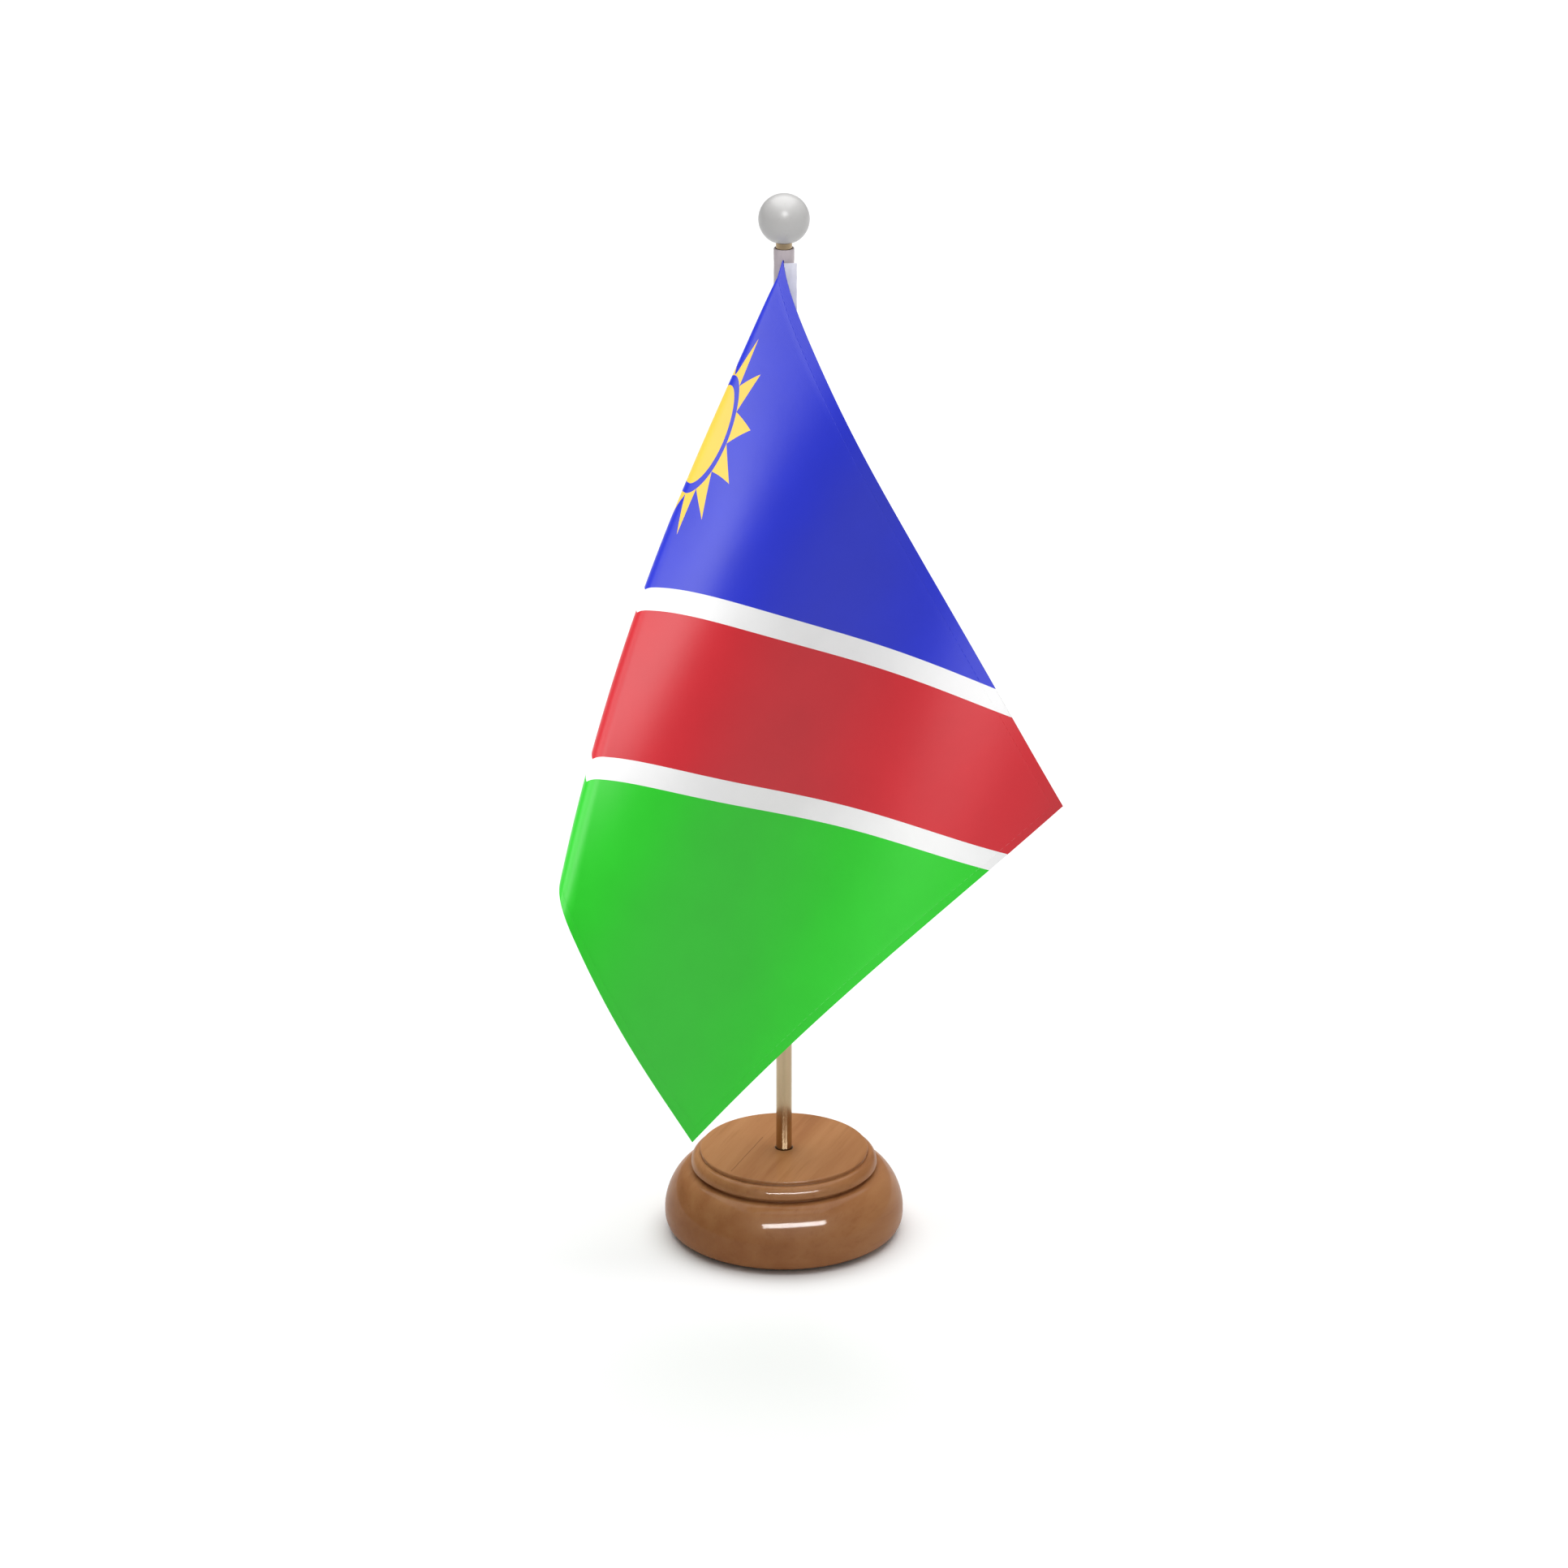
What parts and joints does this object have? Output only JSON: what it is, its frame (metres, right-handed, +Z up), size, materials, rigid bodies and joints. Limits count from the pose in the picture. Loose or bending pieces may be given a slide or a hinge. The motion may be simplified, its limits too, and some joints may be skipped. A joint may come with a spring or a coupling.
{
  "type": "desk flag stand",
  "caption": "Small printed satin flag on a metal pole with a ball finial, screwed into a round turned wooden base.",
  "frame": {"origin": "centre of the base's resting face, on the pole's axis", "axes": "+Z up along the pole; the flag's seen face looks towards -Y and its fly end is to +X"},
  "size_m": [0.1539, 0.1007, 0.3423],
  "materials": {
    "varnished_wood": "gloss clear varnish over turned reddish-brown hardwood",
    "dark_felt": "dark green pressed felt",
    "turned_brass": "turned brass",
    "bright_steel": "zinc-plated steel",
    "champagne_metal": "polished champagne-gold plating",
    "white_plastic": "gloss white moulded plastic",
    "white_satin": "white polyester satin",
    "printed_satin": "printed polyester satin in blue, white, red, green and yellow"
  },
  "bodies": {
    "base": {"wood_base": "varnished_wood", "base_felt": "dark_felt", "base_insert": "turned_brass"},
    "pole_foot": {"foot_stud": "bright_steel"},
    "pole": {"pole_tube": "champagne_metal", "top_stud": "bright_steel"},
    "finial_core": {"finial_insert": "turned_brass"},
    "finial": {"finial_ball": "white_plastic"},
    "sleeve": {"flag_sleeve": "white_satin"},
    "flag": {"flag_header": "white_satin", "flag_cloth": "printed_satin"}
  },
  "joints": [
    {"name": "pole_rise", "type": "slide", "parent": "base", "child": "pole_foot", "axis": [0, 0, 1], "range_m": [0, 0.01225]},
    {"name": "pole_turn", "type": "hinge", "parent": "pole_foot", "child": "pole", "pos_m": [0, 0, 0.0227], "axis": [0, 0, 1], "range_deg": [0, 6301]},
    {"name": "finial_rise", "type": "slide", "parent": "pole", "child": "finial_core", "axis": [0, 0, 1], "range_m": [0, 0.007]},
    {"name": "finial_turn", "type": "hinge", "parent": "finial_core", "child": "finial", "pos_m": [0, 0, 0.3345], "axis": [0, 0, 1], "range_deg": [0, 3601]},
    {"name": "sleeve_slide", "type": "slide", "parent": "pole", "child": "sleeve", "axis": [0, 0, 1], "range_m": [-0.045, 0.002]},
    {"name": "flag_turn", "type": "hinge", "parent": "sleeve", "child": "flag", "pos_m": [0, 0, 0.247], "axis": [0, 0, 1], "continuous": true}
  ],
  "couplings": [
    {"joint": "pole_turn", "follows": "pole_rise", "rad_per_m": 8976},
    {"joint": "finial_turn", "follows": "finial_rise", "rad_per_m": 8976}
  ]
}
